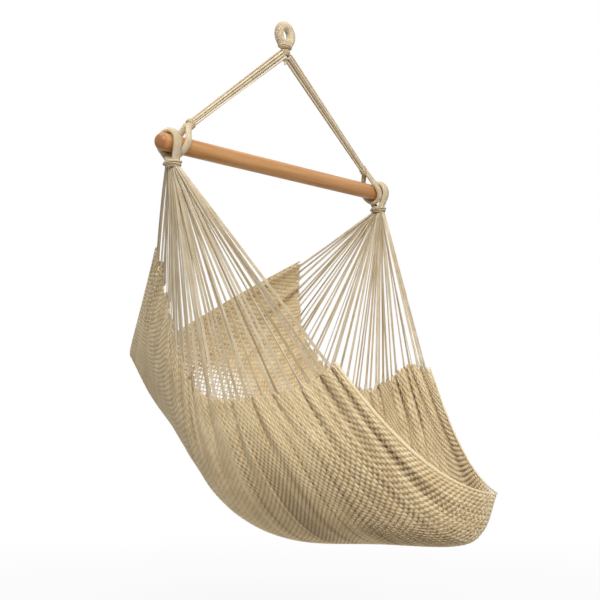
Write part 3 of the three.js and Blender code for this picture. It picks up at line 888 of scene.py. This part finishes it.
left_rim = [
    (-0.290, 0.194, -0.222), (-0.300, 0.147, -0.325), (-0.313, 0.107, -0.422),
    (-0.323, 0.062, -0.515), (-0.330, 0.002, -0.587), (-0.325, -0.075, -0.612),
    (-0.303, -0.171, -0.602), (-0.262, -0.252, -0.585), (-0.217, -0.330, -0.530),
]
right_rim = [
    (0.290, 0.184, -0.205), (0.305, 0.196, -0.315), (0.320, 0.190, -0.420),
    (0.328, 0.125, -0.505), (0.322, 0.040, -0.560), (0.300, -0.050, -0.582),
    (0.280, -0.130, -0.560), (0.250, -0.222, -0.520), (0.215, -0.316, -0.530),
]
middle_line = [
    (0, 0.597, -0.489), (0, 0.494, -0.616), (0, 0.347, -0.738), (0, 0.205, -0.852),
    (0, 0.080, -0.942), (0, -0.080, -0.983), (0, -0.330, -0.971), (0, -0.530, -0.961),
    (0, -0.600, -0.922), (0, -0.636, -0.837),
]
bulge_angle = math.radians(72)
ridge_share = 0.08
back_flat_share, front_flat_share = 0.45, 0.28
left_flat, right_flat = 1.05, 1.2


def smooth_line(places):
    """Points at even distances on one smooth curve through the places."""
    p = np.array(places, float) - (0, 0, bar_drop)
    p = np.concatenate([[2 * p[0] - p[1]], p, [2 * p[-1] - p[-2]]])
    t = np.linspace(0, 1, 60, endpoint=False)[:, None]
    line = []
    for a, b, c, d in zip(p[:-3], p[1:-2], p[2:-1], p[3:]):
        square, cube = 2 * a - 5 * b + 4 * c - d, 3 * b - a - 3 * c + d
        line.append(0.5 * (2 * b + (c - a) * t + square * t**2 + cube * t**3))
    return evenly(np.concatenate([*line, p[-2][None]]), 800)


def on_line(line, v):
    """The points at the shares v of a line that runs from the back edge to the front."""
    at = np.clip(v, 0, 1) * (len(line) - 1)
    count = np.arange(len(line))
    return np.stack([np.interp(at, count, line[:, k]) for k in range(3)], axis=-1)


left_line, right_line, low_line = map(smooth_line, (left_rim, right_rim, middle_line))


def fading(share):
    return np.clip(share, 0, 1) ** 1.5


def bowl(u, v):
    """Places on the net without its folds."""
    u, v = np.broadcast_arrays(u, v)
    a = np.abs(u)
    rim = np.where((u < 0)[..., None], on_line(left_line, v), on_line(right_line, v))
    low = on_line(low_line, v)
    round_across = np.sin(a * bulge_angle) / math.sin(bulge_angle)
    round_rise = (1 - np.cos(a * bulge_angle)) / (1 - math.cos(bulge_angle))
    ridge_rise = np.hypot(a, ridge_share) - ridge_share
    ridge_rise = ridge_rise / (math.hypot(1, ridge_share) - ridge_share)
    back = np.where(u < 0, left_flat, right_flat) * fading(1 - v / back_flat_share)
    flat = back + fading((v - 1 + front_flat_share) / front_flat_share)
    across = round_across + (a - round_across) * flat
    depth = round_rise + (ridge_rise - round_rise) * flat
    height = round_rise + (ridge_rise - round_rise) * back
    x = rim[..., 0] * across
    y = low[..., 1] + (rim[..., 1] - low[..., 1]) * depth
    z = low[..., 2] + (rim[..., 2] - low[..., 2]) * height
    return np.stack([x, y, z], axis=-1)


def arrows_on(surface, u, v):
    """Directions along the net's cords, from one cord to the next, and away from its hollow."""
    step = 0.002
    ahead = surface(np.minimum(u + step, 1), v) - surface(np.maximum(u - step, -1), v)
    beside = surface(u, np.minimum(v + step, 1)) - surface(u, np.maximum(v - step, 0))
    ahead, beside = unit(ahead), unit(beside)
    return ahead, beside, unit(np.cross(ahead, beside))


net_run = 1.51
slack_fold_depth, slack_fold_reach = 0.0032, 0.8
# Share of the net, at its front and at its back edge, over which the folds fade out
fold_edge = 0.010
# Rim end and inner end as (u, v), depth and half width of each deep fold. A positive depth presses
# the net into its hollow.
deep_folds = [
    ((-1, 0.055), (-0.50, 0.090), 0.017, 0.015),
    ((-1, 0.180), (-0.60, 0.190), 0.006, 0.015),
    ((-1, 0.270), (-0.72, 0.350), 0.011, 0.011),
    ((-1, 0.380), (-0.70, 0.385), 0.005, 0.012),
    ((-1, 0.460), (-0.62, 0.445), 0.012, 0.012),
    ((-1, 0.560), (-0.72, 0.550), 0.006, 0.011),
    ((-1, 0.655), (-0.70, 0.625), 0.009, 0.011),
    ((-1, 0.725), (-0.74, 0.710), 0.006, 0.010),
    ((-1, 0.790), (-0.78, 0.798), 0.009, 0.010),
    ((-1, 0.875), (-0.66, 0.872), 0.012, 0.011),
    ((-1, 0.945), (-0.58, 0.925), 0.011, 0.011),
    ((-1, 0.986), (-0.12, 0.942), 0.015, 0.011),
    ((1, 0.10), (0.65, 0.11), -0.007, 0.015),
    ((1, 0.30), (0.65, 0.31), -0.007, 0.015),
    ((1, 0.52), (0.60, 0.53), -0.009, 0.015),
    ((1, 0.70), (0.55, 0.69), -0.011, 0.014),
    ((1, 0.81), (0.50, 0.75), -0.012, 0.013),
    ((1, 0.866), (0.45, 0.81), -0.011, 0.013),
]


def fold_depth(u, v):
    """How far the folds press the net into its hollow."""
    u, v = np.broadcast_arrays(u, v)
    inward = 1 - np.abs(u)
    slack = slack_fold_depth * np.clip(1 - inward / slack_fold_reach, 0, 1) ** 1.3
    total = slack * (np.sin(83 * v + 3 * inward + u) + 0.7 * np.sin(137 * v - 4 * inward + 2 * u))
    for (rim_u, rim_v), (end_u, end_v), depth, half_width in deep_folds:
        along = np.clip((u - rim_u) / (end_u - rim_u), 0, 1)
        off = (v - rim_v - (end_v - rim_v) * along) * net_run / (half_width * (1 + 0.7 * along))
        press = np.exp(-off * off) - 0.45 * np.exp(-((np.abs(off) - 2) ** 2))
        total = total + depth * np.cos(0.5 * math.pi * along) * press
    return total


def net_place(u, v):
    """Places on the net with its folds pressed into the hollow."""
    edge = np.clip(np.minimum(v, 1 - v) / fold_edge, 0, 1)
    _, _, out = arrows_on(bowl, u, v)
    return bowl(u, v) - out * (fold_depth(u, v) * edge)[..., None]


# Clew cords
# From each neck forty cords fan out to the side rim of the net. Each is three taut strands of
# cotton side by side, which pass through the net's end loops and open there.

clew_fit = 0.00035
clew_top = bar_drop + hammock_neck_top + hammock_neck_height + clew_fit
clew_count = 40
clew_strand = 0.0026
strand_step = 0.0023
bunch_size = 5
bunch_step = 0.00415
row_step = 0.00323
# How far each cord runs on past its neck and past the net's rim
clew_head_reach, clew_foot_reach = 0.006, 0.007
# Spread of the cords' feet in cord steps, of their turn in radians, and of their sag in metres
foot_scatter, roll_scatter, sag_scatter = 0.22, 0.55, 0.0012
strand_scatter = 0.12

clew_cotton = cotton(
    "clew cotton",
    pale=colour(236, 226, 204),
    deep=colour(204, 186, 150),
    # Colour of the painted shade in the creases, and of the darkest cords
    crease_shade=colour(146, 120, 80),
    plies=2,
    lay=0.009,
    relief=0.0003,
)


def clew_feet(side):
    """Where each clew cord meets the rim, and the way along the rim there."""
    scatter = np.clip(dice.normal(0, foot_scatter, clew_count), -0.4, 0.4)
    v = (np.arange(clew_count) + 0.5 + scatter) / clew_count
    u = np.full(clew_count, float(side))
    _, beside, _ = arrows_on(bowl, u, v)
    return net_place(u, v), beside


def clew_heads(side, feet):
    """Places of the cords under the neck: eight bunches of five, one bunch behind another."""
    lean = np.arctan2(feet[:, 1], -clew_top - feet[:, 2])
    widths = (bunch_step / np.cos(lean)).reshape(-1, bunch_size).max(axis=1)
    y = widths.sum() / 2 - np.cumsum(widths) + widths / 2
    row = (np.arange(bunch_size) - (bunch_size - 1) / 2) * row_step
    x = side * hammock_eye_x + np.tile(row, len(widths))
    places = [x, np.repeat(y, bunch_size), np.full(clew_count, -clew_top)]
    return leaning(side, np.stack(places, axis=1))


bunch_numbers = range(1, clew_count // bunch_size + 1)
for label, side in sides.items():
    feet, beside = clew_feet(side)
    heads = clew_heads(side, feet)
    run = unit(feet - heads)
    heads = heads - clew_head_reach * run
    feet = feet + clew_foot_reach * run
    share = np.concatenate([np.linspace(0, 0.92, 24), np.linspace(0.93, 1, 8)])[None, :, None]
    line = heads[:, None] + (feet - heads)[:, None] * share
    roll = dice.normal(0, roll_scatter, (clew_count, 1))
    flat_way = np.cos(roll) * beside + np.sin(roll) * np.cross(run, beside)
    slack = dice.normal(0, sag_scatter, (clew_count, 2))
    belly = np.sin(math.pi * share)
    line = line + belly * (slack[:, :1] * beside + slack[:, 1:] * np.cross(run, beside))[:, None]
    gathered = 0.45 + 0.55 * np.clip(share / 0.25, 0, 1)
    opened = 1 + 0.9 * np.clip((share - 0.94) / 0.06, 0, 1) ** 1.3
    uneven = 1 + dice.normal(0, strand_scatter, (clew_count, 1, 1))
    step = strand_step * gathered * opened * uneven
    strands = np.concatenate([line + k * step * flat_way[:, None] for k in (-1, 0, 1)])
    tone = np.tile(dice.random(clew_count), 3) * 0.8 + 0.3 * dice.random(3 * clew_count) - 0.05
    out = np.cross(np.tile(run, (3, 1)), np.tile(flat_way, (3, 1)))[:, None]
    add_cords(
        "clew_cords_" + label,
        [cords_along(strands, out, clew_strand / 2, clew_strand / 2, sides=6, tone=tone)],
        clew_cotton,
        "cord",
        "seat",
        *["clew_bunch_" + label + "_" + str(number) for number in bunch_numbers],
    )

# Net
# A hundred and sixty soft cotton cords run from rim to rim. Each winds over one neighbour and
# under the other, so that they link in a mesh. It lies close nearly everywhere, and opens low on
# the front and low on the back. Five neighbours gather in each tuft at the rim.

net_cords = 160
net_links = 66
points_per_link = 8
net_cord_sides = 5
tuft_cords = 5
tuft_scatter = 0.007
tuft_pull, tuft_from, tuft_reach = 0.45, 0.975, 0.025
# Half width and sway of a cord as shares of the cords' pitch, and its heights in metres
open_half_share, close_half_share = 0.22, 0.56
open_half_up, close_half_up = 0.0009, 0.0017
open_sway_share, close_sway_share = 0.29, 0.11
open_weave_height, close_weave_height = 0.0005, 0.0009
thinnest_half, widest_half = 0.0012, 0.0080
right_side_widening = 0.22
# Towards the front the cords crowd and then part again. This is where it starts and how far it
# reaches in v, the greatest share of the pitch, and the shift in v that gives it.
crowd_from, crowd_reach, crowd_share, crowd_shift = 0.62, 0.38, 0.37, 0.0224
phase_scatter = 0.12
tone_scatter = 0.10
# Strengths of the painted shade in the net's tone: where cords dive, in fold grooves, inside the
# seat's hollow and on the left of the front
winding_shade = 0.25
groove_shade = 22
hollow_shade = 0.8
painted_front_shade_strength = 0.4
net_bands = 5

net_cotton = cotton(
    "netting cotton",
    pale=colour(240, 222, 184),
    deep=colour(212, 188, 144),
    # Colour of the painted shade in the creases and where the net's tone is low
    crease_shade=colour(84, 58, 30),
    plies=2,
    lay=0.010,
    relief=0.0003,
    crease_shade_share=0.25,
)


def open_share(u, v):
    """1 where the mesh is stretched open, and 0 where its cords lie close."""
    off = v - 0.86 - 0.3 * (u + 0.25)
    front = np.exp(-((off / 0.10) ** 4)) * np.exp(-(((u + 0.13) / 0.31) ** 4))
    off = v - 0.165 - 0.25 * (u - 0.38)
    back = np.exp(-((off / 0.055) ** 2)) * np.exp(-(((u - 0.38) / 0.18) ** 2))
    return np.clip(1.2 * np.maximum(front, back), 0, 1)


def net_cord_lines():
    """Middle lines of the net's cords, their outward sides, half widths, half heights and shade."""
    run = np.linspace(-1, 1, net_links * points_per_link + 1)[None]
    number = np.arange(net_cords)[:, None]
    tuft = number // tuft_cords
    short = 1 - tuft_scatter * dice.random((2, net_cords // tuft_cords))
    u = run * np.where(run < 0, short[0][tuft], short[1][tuft])
    v = (number + 0.5) / net_cords + 0 * run
    pull = tuft_pull * np.clip((np.abs(run) - tuft_from) / tuft_reach, 0, 1) ** 1.5
    v = v + ((tuft + 0.5) * tuft_cords / net_cords - v) * pull
    squeeze = 2 * math.pi * np.clip((v - crowd_from) / crowd_reach, 0, 1)
    free = 1 - u**2
    stretch = 1 - crowd_share * np.sin(squeeze) * free
    v = v - crowd_shift * (1 - np.cos(squeeze)) * free
    place = net_place(u, v)
    _, beside, out = arrows_on(net_place, u, v)
    low, high = np.maximum(v - 0.004, 0), np.minimum(v + 0.004, 1)
    pitch = np.linalg.norm(net_place(u, high) - net_place(u, low), axis=-1)
    pitch = pitch / (high - low) / net_cords
    pitch = pitch * (1 - pull) * stretch

    opened = open_share(u, v)
    half_across = (close_half_share + (open_half_share - close_half_share) * opened) * pitch
    widening = 1 + right_side_widening * np.clip(2.5 * u - 0.6, 0, 1)
    half_across = np.clip(half_across * widening, thinnest_half, widest_half)
    half_up = close_half_up + (open_half_up - close_half_up) * opened
    height = close_weave_height + (open_weave_height - close_weave_height) * opened
    sway = (close_sway_share + (open_sway_share - close_sway_share) * opened) * pitch
    scatter = dice.normal(0, phase_scatter, (net_cords, 1))
    phase = math.pi * (net_links * (run + 1) + number) + scatter
    phase = phase + 0.8 * np.sin(3 * u + 7 * v) + 0.4 * np.sin(9 * u - 11 * v)
    aside = (np.cos(phase) * sway)[..., None] * beside
    line = place - aside + (np.sin(phase) * height)[..., None] * out

    # Painted shade in the tone: lighter where a cord rises towards a face and darker where it
    # dives, darker in the folds' grooves, on the inner faces inside the seat's hollow, and darker
    # and yellower on the left of the front.
    facing = np.sin(2 * math.pi * np.arange(net_cord_sides) / net_cord_sides)
    shade = winding_shade * np.sin(phase)[..., None] * facing
    # Painted shade in the folds' grooves.
    groove = np.clip(-np.sign(u) * fold_depth(u, v), 0, None)
    shade = shade - groove_shade * groove[..., None]
    # Painted shade on the inner faces inside the seat's hollow.
    hollow = np.exp(-(((u - 0.05) / 0.33) ** 4)) * np.exp(-(((v - 0.74) / 0.2) ** 4))
    shade = shade - hollow_shade * hollow[..., None] * np.clip(-facing, 0, 1)
    # Painted shade, darker and yellower, on the left of the front.
    painted_front_shade = np.exp(-(((u + 0.42) / 0.4) ** 4)) * np.exp(-(((v - 0.78) / 0.22) ** 4))
    return line, out, half_across, half_up, shade - painted_front_shade_strength * painted_front_shade[..., None]


net_lines, net_outward, net_halves, net_halves_up, net_shade = net_cord_lines()
# Each net cord's tone: random, plus the painted shade.
net_tone_and_shade = 0.5 + tone_scatter * dice.standard_normal((net_cords, 1, 1)) + net_shade
for band in range(net_bands):
    own = slice(band * net_cords // net_bands, (band + 1) * net_cords // net_bands)
    piece = add_cords(
        "net_band_" + str(band + 1),
        [
            cords_along(
                net_lines[own], net_outward[own], net_halves[own], net_halves_up[own],
                net_cord_sides, tone=net_tone_and_shade[own],
            )
        ],
        net_cotton,
        "netting",
        "seat",
        "net",
    )

# Selvages
# A thick three-ply rope edges the front of the net and a thinner one the back. Each lies just
# off the outermost cord, and the last clew cords hold its ends. The front rope is paler and twice
# as thick on its left half.

front_away, back_away = 0.0042, 0.0020
front_steps, back_steps = 300, 240
front_rope_diameter, front_rope_more = 0.0052, 0.0054
back_rope_diameter = 0.0050


def selvage_line(v, away, count):
    """A line beside the net's edge at v, and the direction out of the net's hollow along it."""
    u = np.linspace(-1, 1, count)
    v = np.full(count, float(v))
    _, beside, out = arrows_on(net_place, u, v)
    sense = 1 if v[0] > 0.5 else -1
    return net_place(u, v) + sense * away * beside, out


line, out = selvage_line(1, front_away, front_steps)
near = np.clip((-0.10 - np.linspace(-1, 1, front_steps)) / 0.4, 0, 1)
diameter = front_rope_diameter + front_rope_more * near
tone = (0.55 + 0.45 * near)[None]
front_rope = add_cords(
    "front_selvage_rope",
    [twisted(line[None], out[None], diameter, lay=0.026, groove=0.4, tone=tone)],
    net_cotton,
    "cord",
    "seat",
    "front_selvage",
)
line, out = selvage_line(0, back_away, back_steps)
back_rope = add_cords(
    "back_selvage_rope",
    [twisted(line[None], out[None], back_rope_diameter, lay=0.018)],
    net_cotton,
    "cord",
    "seat",
    "back_selvage",
)
